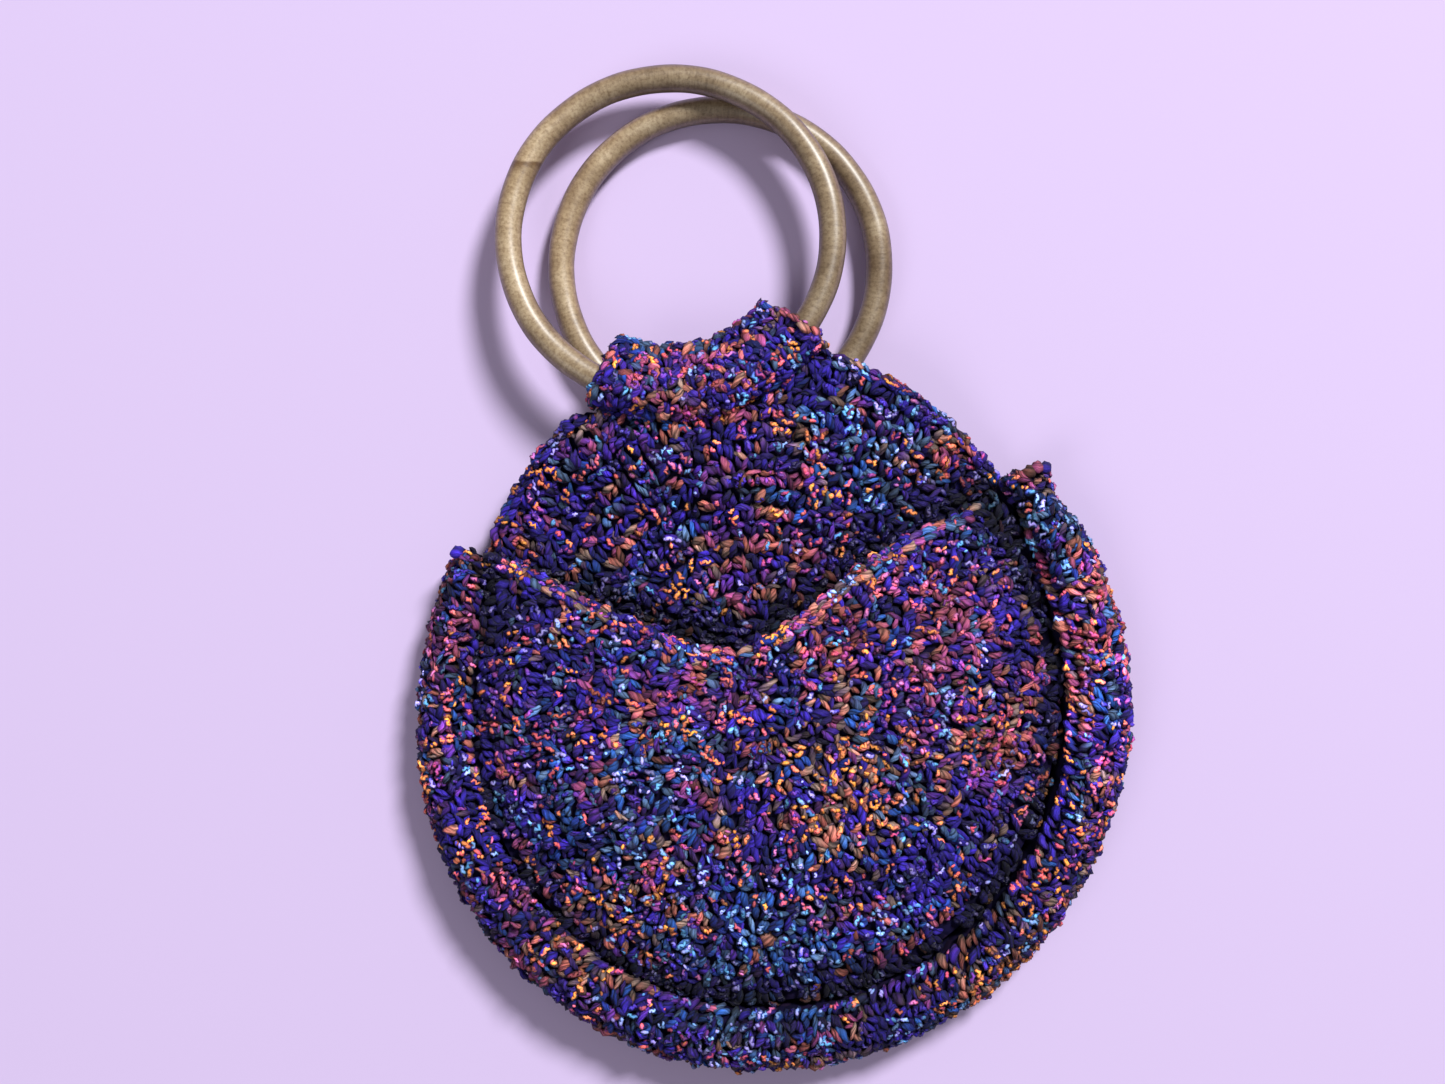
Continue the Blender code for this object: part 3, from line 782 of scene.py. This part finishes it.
front_rows = disc_rows(
    "front_panel", (-2, 12), (0, PANEL_UP), first=2.5, last=101.4, step=5.2, above=True, seed=5
)
x, y = front_rows.point[:, 0] / MM, front_rows.point[:, 1] / MM
shown = y > MOUTH_LOW + mouth_rise(x) - 14
front_loops = coloured(loops_of(front_rows.keep(shown), POSTS), 5)
x, y = front_loops["spot"][:, 0] / MM, front_loops["spot"][:, 1] / MM
above = y - MOUTH_LOW - mouth_rise(x)
# Painted shade: the front panel darkens towards the pocket's mouth, where the pocket shades it.
paint_shade(front_loops, (above - 3) / 18)
yarn_piece("front_panel_yarn", front_loops)
thread_piece("front_panel_thread", front_loops, 0.52)

edge = Rows()
for number, (line, out) in enumerate(free_arcs("front_panel", 1.0, 0.0)):
    edge_row(edge, line, out * 0.55 + [0, 0, 0.85], 590 + number)
for number, (line, out) in enumerate(free_arcs("front_panel", 0.4, -2.4)):
    edge_row(edge, line, out + [0, 0, 0.1], 595 + number)
front_edge = coloured(loops_of(edge.done(), CHAIN, turn=8, sink=0.1, ply=1.2), 6)
yarn_piece("front_edge_yarn", front_edge)
thread_piece("front_edge_thread", front_edge, 0.7)

# GUSSET
# The crocheted band between the two discs. It folds outwards into a soft rim, with its
# rows running round the bag, and curls into a small peak at each end.

ground_of("gusset")
gusset_tree = cad_tree("gusset")
# The middle of the rim's roll: its distance from the bag's axis and its height. Then, as
# angles round that axis, the foot of the bag and the rim's two ends.
HOLLOW_RADIUS, HOLLOW_UP = 121.5, 11.2
LOWEST = 1.5 * math.pi
start, end = math.radians(143.2), math.radians(360 + 35.8)


def rim_point(theta, phi):
    """Where a line towards the hollow of the rim meets its outer face."""
    level = np.cos(phi)
    way = np.stack([level * np.cos(theta), level * np.sin(theta), np.sin(phi)], axis=-1)
    radius = HOLLOW_RADIUS * (1 + 0.06 * np.clip((np.abs(theta - LOWEST) - 1.85) / 0.4, 0, 1))
    x, y = radius * np.cos(theta), radius * np.sin(theta)
    hollow = np.stack([x, y, 0 * theta + HOLLOW_UP], axis=-1) * MM
    return cast(gusset_tree, hollow + way * 0.04, -way, 0.06)


# The rim's outline at the foot, over which the rows are spread: in mm, where the first one
# is, which is the ridge, what the rows leave free in all, and about how far apart they are.
RIDGE_AT, LEFT_FREE, ROW_STEP = 4.2, 7.2, 5.1
ROLL_OUT = 10
profile = np.radians(np.arange(158, -128, -2.0))
points, _, met = rim_point(np.full(len(profile), LOWEST), profile)
points, profile = points[met], profile[met]
far = length_along(points)
rim_rows, ridge = Rows(), Rows()
row_count = int(round((far[-1] - LEFT_FREE) / ROW_STEP))
for number in range(row_count + 1):
    phi = np.interp(RIDGE_AT + number * (far[-1] - LEFT_FREE) / row_count, far, profile)
    reach = HOLLOW_RADIUS + ROLL_OUT * math.cos(phi)
    count = int(round((end - start) * reach / PITCH))
    theta = start + (np.arange(count) + luck.uniform(0.2, 0.8)) / count * (end - start)
    points, normals, met = rim_point(theta, phi + 0 * theta)
    rows = ridge if number == 0 else rim_rows
    rows.add(points, normals, onward(theta), theta * reach * MM, 700 + number, met)

# The thick loops that the peaks end in: one at the left, three at the right.
TIPS = np.array([(-105.8, 77.4), (113.0, 74.5), (109.8, 75.0), (106.8, 73.9)]) * MM


def clear_of_tips(rows, gap):
    """Rows without the stitches that would lie in the peaks' thick loops."""
    away = np.linalg.norm(rows.point[:, None, :2] - TIPS[None], axis=2).min(axis=1)
    return rows.keep(away > gap * MM)


rim_rows = clear_of_tips(rim_rows.done(), gap=3.2)
rim_loops = coloured(loops_of(rim_rows, POSTS), 8)
yarn_piece("gusset_yarn", rim_loops, sides=4)
thread_piece("gusset_thread", rim_loops, 0.50)
ridge = clear_of_tips(ridge.done(), gap=3.2)
ridge_loops = coloured(loops_of(ridge, RIDGE, turn=12, shift=0.50, ply=1.35), 18)
yarn_piece("gusset_ridge_yarn", ridge_loops)
thread_piece("gusset_ridge_thread", ridge_loops, 0.55)

edge = Rows()
for number, (theta, way) in enumerate(((start + 0.006, -1), (end - 0.006, 1))):
    points, normals, met = rim_point(theta + 0 * profile, profile)
    endward = way * np.array([-math.sin(theta), math.cos(theta), 0])
    edge_row(edge, points[met], normals[met] * 0.6 + endward * 0.8, 790 + number)
edge = clear_of_tips(edge.done(), gap=5.0)
rim_edge = coloured(loops_of(edge, CHAIN, turn=4, shift=0.2, sink=0.6), 13)
yarn_piece("gusset_end_yarn", rim_edge)
thread_piece("gusset_end_thread", rim_edge, 0.7)
knobs = Rows()
for x, y in TIPS:
    spot, normal, _, _ = gusset_tree.find_nearest(Vector((x, y, 22 * MM)))
    spot = np.array([x, y, spot.z])
    facing = np.array([normal.x * 0.5, normal.y * 0.5, 1.0])
    knobs.add(spot[None], facing[None], np.array([[1.0, 0.25, 0.0]]), np.zeros(1), 799)
knob_loops = coloured(loops_of(knobs.done(), KNOB, turn=4, shift=0.1, swell=0.05, ply=2.1), 19)
knob_loops["tone"][:] = (0.07, 0.05, 0.65, 0.72)
yarn_piece("gusset_knob_yarn", knob_loops, sides=10)

# POCKET
# A third crocheted disc with its top left out, so that its mouth dips in a V. It lies on
# the front panel and is caught in the same seam, which pulls it into soft folds.

ground_of("pocket")


def from_seam(points):
    """How far inside the pocket's round seam points are, in mm."""
    return 110.5 - np.hypot(points[:, 0] / MM + 3, points[:, 1] / MM - 3)


pocket_rows = disc_rows(
    "pocket", (-8, 16), (-3, 2.5), first=2.6, last=115.1, step=5.02, above=True, seed=9
)
x, y = pocket_rows.point[:, 0] / MM, pocket_rows.point[:, 1] / MM
inside = np.maximum(from_seam(pocket_rows.point), PANEL_RADIUS - np.hypot(x, y - PANEL_UP))
pocket_rows = pocket_rows.keep(inside > luck.uniform(0.2, 3.2, len(inside)))
pocket_loops = coloured(loops_of(pocket_rows, POSTS), 9)
# Painted shade: the pocket darkens towards its seam, in the groove beside the rim.
paint_shade(pocket_loops, (from_seam(pocket_loops["spot"]) - 2.8) / 13)
yarn_piece("pocket_yarn", pocket_loops)
thread_piece("pocket_thread", pocket_loops, 0.52)

# The line of the mouth, found from above, then smoothed.
pocket_tree = cad_tree("pocket")
mouth = []
for x in np.linspace(-93.5, 90.5, 150):
    guess = MOUTH_LOW + mouth_rise(x)
    for y in np.arange(guess + 12, guess - 14, -0.35):
        hit = pocket_tree.ray_cast(Vector((x * MM, y * MM, 0.1)), Vector((0, 0, -1)))[0]
        if hit is not None:
            mouth.append(hit[:])
            break
mouth = np.array(mouth)
mouth[:, 1] = np.convolve(np.pad(mouth[:, 1], 2, "edge"), np.ones(5) / 5, "valid")
slope = unit(np.gradient(mouth, axis=0))
inward = unit(np.stack([-slope[:, 1], slope[:, 0], 0 * slope[:, 0]], axis=1))
upper = mouth - inward * 1.2 * MM
lower = mouth - inward * 0.3 * MM - np.array([0, 0, 2.3 * MM])
edge = Rows()
edge_row(edge, upper, inward * 0.5 + [0, 0, 0.87], 990, 4.3)
edge_row(edge, lower, inward + [0, 0, 0.1], 991, 4.3)
mouth_loops = coloured(loops_of(edge.done(), CHAIN, turn=7, sink=-0.25, ply=1.28), 14)
pale = luck.random(len(mouth_loops["tone"])) < 0.45
mouth_loops["tone"][pale] = luck.uniform(0.60, 0.78, pale.sum())
# Painted light: the mouth's edge is held out of the painted shade and brightened.
mouth_loops["dim"] = np.maximum(mouth_loops["dim"], 0.9) * 1.15
yarn_piece("pocket_edge_yarn", mouth_loops)
thread_piece("pocket_edge_thread", mouth_loops, 0.7)

# SLEEVES AND RINGS
# The top row of each panel is worked round a bent wooden ring, which holds it like a
# curtain on a rod. The rings are of round wood, stained and clear lacquered.

RING_RADIUS, WOOD_RADIUS = 0.060, 0.005
SLEEVE_OUT = 8


def ring_plane(node):
    """Centre of a CAD ring and the ways across, along and out of its plane."""
    corners = np.array([v.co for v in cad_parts[node].data.vertices])
    centre = corners.mean(axis=0)
    _, _, ways = np.linalg.svd(corners - centre, full_matrices=False)
    out = ways[2] * np.sign(ways[2][2])
    across = unit(np.cross([0, 1.0, 0], out))
    return centre, across, np.cross(out, across), out


def sleeve_rows(sleeve_node, ring_node, middle, span, seed):
    """Rows that run along a ring, round the sleeve from the panel over to its fold."""
    tree = cad_tree(sleeve_node)
    centre, across, up, out = ring_plane(ring_node)

    def round_point(psi, phi):
        """Where a line towards the ring's wood meets the sleeve's outer face."""
        spoke = np.sin(psi)[:, None] * across - np.cos(psi)[:, None] * up
        way = np.cos(phi)[:, None] * spoke + np.sin(phi)[:, None] * out
        core = centre + RING_RADIUS * spoke
        points, normals, met = cast(tree, core + way * 0.03, -way, 0.029)
        along = np.cos(psi)[:, None] * across + np.sin(psi)[:, None] * up
        return points, normals, met, along

    phis = np.radians(np.arange(0, 361, 3.0))
    points, _, met, _ = round_point(np.full(len(phis), middle), phis)
    far = length_along(points)
    rows = Rows()
    count_rows = int(round(far[-1] / 4.4))
    for number in range(count_rows):
        phi = np.interp((number + 0.5) * far[-1] / count_rows, far, phis)
        reach = 60 + SLEEVE_OUT * math.cos(phi)
        count = int(round(span * reach / 4.8))
        psi = middle - span / 2 + (np.arange(count) + 0.5) / count * span
        points, normals, met, along = round_point(psi, phi + 0 * psi)
        rows.add(points, normals, along, psi * reach * MM, seed * 100 + number, met)

    # The ends' own rows, left out over the fold, where the edge is turned in.
    edges = Rows()
    for way in (-1, 1):
        psi = middle + way * (span / 2 - 0.004)
        points, normals, met, along = round_point(psi + 0 * phis, phis)
        met &= np.abs(phis - math.pi) > 0.5
        faces = normals[met] * 0.6 + way * along[met] * 0.8
        edge_row(edges, points[met], faces, seed * 100 + 90 + way)
    return rows.done(), edges.done()


SPAN = math.radians(78)
for side, middle, seed in (("back", 1.5, 21), ("front", 5.5, 31)):
    node = side + "_sleeve"
    ground_of(node, 0.9)
    rows, edges = sleeve_rows(node, side + "_ring", math.radians(middle), SPAN, seed)
    loops = coloured(loops_of(rows, POSTS, sink=0.3), seed)
    loops["dim"] = np.maximum(loops["dim"], 0.82)
    yarn_piece(node + "_yarn", loops)
    thread_piece(node + "_thread", loops, 0.60)
    loops = coloured(loops_of(edges, CHAIN, turn=8, sink=0.2), seed + 1)
    loops["dim"] = np.maximum(loops["dim"], 0.82)
    yarn_piece(node + "_edge_yarn", loops)
    thread_piece(node + "_edge_thread", loops, 0.7)


def wood_material():
    """Lacquered wood: mottled, with fine lines across the ring and one scarfed joint; painted
    shade darkens it towards its outline, and painted light and shade vary round the ring.
    """
    made, nodes, links, shader = new_material("lacquered_wood")
    grain = add(nodes, "ShaderNodeAttribute", attribute_name="grain")
    joint = add(nodes, "ShaderNodeAttribute", attribute_name="joint")
    # Painted light and shade round the ring.
    painted_wood_light = add(nodes, "ShaderNodeAttribute", attribute_name="painted_wood_light")
    place = nodes.new("ShaderNodeTexCoord")
    blotch = add(nodes, "ShaderNodeTexNoise", Scale=55.0, Detail=4.0, Roughness=0.6)
    lines = add(nodes, "ShaderNodeTexNoise", Scale=900.0, Detail=2.0, Roughness=0.6)
    speck = add(nodes, "ShaderNodeTexNoise", Scale=800.0, Detail=3.0, Roughness=0.7)
    links.new(place.outputs["Object"], blotch.inputs["Vector"])
    links.new(grain.outputs["Vector"], lines.inputs["Vector"])
    links.new(place.outputs["Object"], speck.inputs["Vector"])
    wide = ramp(nodes, [
        (0.32, srgb(131, 109, 82)), (0.52, srgb(164, 143, 113)), (0.72, srgb(188, 170, 141)),
    ])
    across = ramp(nodes, [(0.36, (0.86, 0.84, 0.81)), (0.62, (1.05, 1.05, 1.05))])
    dots = ramp(nodes, [(0.34, (0.66, 0.60, 0.54)), (0.56, (1.05, 1.05, 1.05))])
    links.new(blotch.outputs["Fac"], wide.inputs["Fac"])
    links.new(lines.outputs["Fac"], across.inputs["Fac"])
    links.new(speck.outputs["Fac"], dots.inputs["Fac"])

    # The joint: a worn pale edge, then its dark line.
    span = add(nodes, "ShaderNodeMapRange", **{"From Min": -0.040, "From Max": 0.040})
    links.new(joint.outputs["Fac"], span.inputs["Value"])
    seam = ramp(nodes, [
        (0.0, (1, 1, 1)), (0.30, (1.04, 1.04, 1.04)), (0.484, (1.22, 1.24, 1.26)),
        (0.495, (0.50, 0.40, 0.30)), (0.505, (0.50, 0.40, 0.30)), (0.53, (0.94, 0.92, 0.88)),
        (0.8, (1, 1, 1)),
    ])
    links.new(span.outputs[0], seam.inputs["Fac"])

    # Painted shade: the wood darkens towards its outline.
    rim = add(nodes, "ShaderNodeLayerWeight", Blend=0.5)
    painted_edge_shade = ramp(nodes, [
        (0.0, (1.04, 1.04, 1.04)), (0.42, (0.77, 0.72, 0.66)), (1.0, (0.14, 0.10, 0.075)),
    ])
    links.new(rim.outputs["Facing"], painted_edge_shade.inputs["Fac"])
    colour = wide.outputs["Color"]
    for layer in (across, dots, seam, painted_edge_shade, painted_wood_light):
        product = add(nodes, "ShaderNodeVectorMath", operation="MULTIPLY")
        links.new(colour, product.inputs[0])
        links.new(layer.outputs["Color"], product.inputs[1])
        colour = product.outputs[0]
    links.new(colour, shader.inputs["Base Color"])
    relief = add(nodes, "ShaderNodeBump", Strength=0.25, Distance=0.0003)
    links.new(lines.outputs["Fac"], relief.inputs["Height"])
    links.new(relief.outputs["Normal"], shader.inputs["Normal"])
    shader.inputs["Roughness"].default_value = 0.45
    shader.inputs["Coat Weight"].default_value = 0.50
    shader.inputs["Coat Roughness"].default_value = 0.33
    return made


WOOD = wood_material()

# How the painted light and shade change on the way round a ring: degrees, and the wood's
# brightness.
PAINTED_WOOD_LIGHT_AT = (0, 40, 74, 100, 124, 164, 190, 214, 270, 328, 360)
PAINTED_WOOD_LIGHT = (0.80, 0.86, 0.76, 0.86, 1.08, 1.20, 1.08, 0.90, 0.80, 0.62, 0.80)
for side, joint_angle in (("back", 250.0), ("front", 144.7)):
    centre, across, up, out = ring_plane(side + "_ring")
    tilt = math.atan2(up[2], up[1])
    bpy.ops.mesh.primitive_torus_add(
        major_radius=RING_RADIUS, minor_radius=WOOD_RADIUS, major_segments=200, minor_segments=28
    )
    ring = bpy.context.object
    ring.name = side + "_ring_wood"
    corners = np.array([v.co for v in ring.data.vertices])
    around = np.arctan2(corners[:, 1], corners[:, 0])
    spokes = outward(around)
    core = RING_RADIUS * spokes
    arm = corners - core
    turned = np.arctan2(arm[:, 2], (arm * spokes).sum(1))
    uneven = 1 + 0.018 * np.sin(5 * around + 1) + 0.012 * np.sin(11 * around + turned)
    uneven += 0.006 * np.sin(23 * around)
    corners = core + arm * uneven[:, None]
    ring.data.vertices.foreach_set("co", corners.ravel())
    third = 0.0006 * np.cos(turned) + 0.0004 * np.sin(turned)
    grain = np.stack([core[:, 0], core[:, 1], third], axis=1)
    offset = (np.degrees(around) - joint_angle + 180) % 360 - 180
    joint = np.radians(offset) * RING_RADIUS
    joint += 0.0008 * np.cos(2 * turned) - 0.0022 * np.cos(turned)
    painted_wood_light = np.interp(np.degrees(around) % 360, PAINTED_WOOD_LIGHT_AT, PAINTED_WOOD_LIGHT)
    # Painted shade: the inner side of the ring's upper half is darker.
    painted_wood_light *= 1 - 0.30 * np.clip(-np.cos(turned), 0, 1) * np.clip(np.sin(around), 0, 1)
    for key, kind, field, values in (
        ("grain", "FLOAT_VECTOR", "vector", grain.ravel()),
        ("joint", "FLOAT", "value", joint),
        ("painted_wood_light", "FLOAT", "value", painted_wood_light),
    ):
        ring.data.attributes.new(key, kind, "POINT").data.foreach_set(field, values)
    bpy.ops.object.select_all(action="DESELECT")
    ring.select_set(True)
    bpy.context.view_layer.objects.active = ring
    ring.rotation_euler = (tilt, 0, 0)
    ring.location = centre
    bpy.ops.object.transform_apply(location=True, rotation=True, scale=True)
    bpy.ops.object.shade_smooth()
    ring.data.materials.append(WOOD)
    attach(ring, "root")
    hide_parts(side + "_ring")

# TABLE, LIGHT AND CAMERA
# A plain pale lilac surface under the bag, lit by large soft lamps from above. The camera
# looks straight down, turned so that the bag leans a little to the left.

bpy.ops.mesh.primitive_plane_add(size=6.0, location=(0, 0, 0))
table = bpy.context.object
table.name = "table_top"
paper, _, _, shader = new_material("pale_table")
shader.inputs["Base Color"].default_value = (*srgb(209, 190, 228), 1)
shader.inputs["Roughness"].default_value = 0.9
shader.inputs["Specular IOR Level"].default_value = 0.1
table.data.materials.append(paper)

TARGET = Vector((0, 0.05, 0))


def lamp(name, place, size, power):
    """A round soft lamp that faces the bag."""
    light = bpy.data.lights.new(name, "AREA")
    light.shape = "DISK"
    light.size = size
    light.energy = power
    made = bpy.data.objects.new(name, light)
    made.location = place
    made.rotation_euler = (TARGET - Vector(place)).to_track_quat("-Z", "Y").to_euler()
    bpy.context.scene.collection.objects.link(made)


lamp("key", (2.6, 2.9, 3.6), 1.3, 362)
lamp("fill", (-2.2, -1.2, 2.8), 2.0, 26)
world = bpy.data.worlds.new("room")
world.use_nodes = True
world.node_tree.nodes["Background"].inputs["Color"].default_value = (0.95, 0.93, 1.0, 1)
world.node_tree.nodes["Background"].inputs["Strength"].default_value = 0.22
bpy.context.scene.world = world
bpy.context.scene.view_settings.view_transform = "Standard"

eye = bpy.data.cameras.new("eye")
eye.lens = 40
eye.sensor_width = 36
camera = bpy.data.objects.new("eye", eye)
camera.location = (-0.0086, 0.0659, 0.613)
camera.rotation_euler = (0, 0, math.radians(-9))
bpy.context.scene.collection.objects.link(camera)
bpy.context.scene.camera = camera
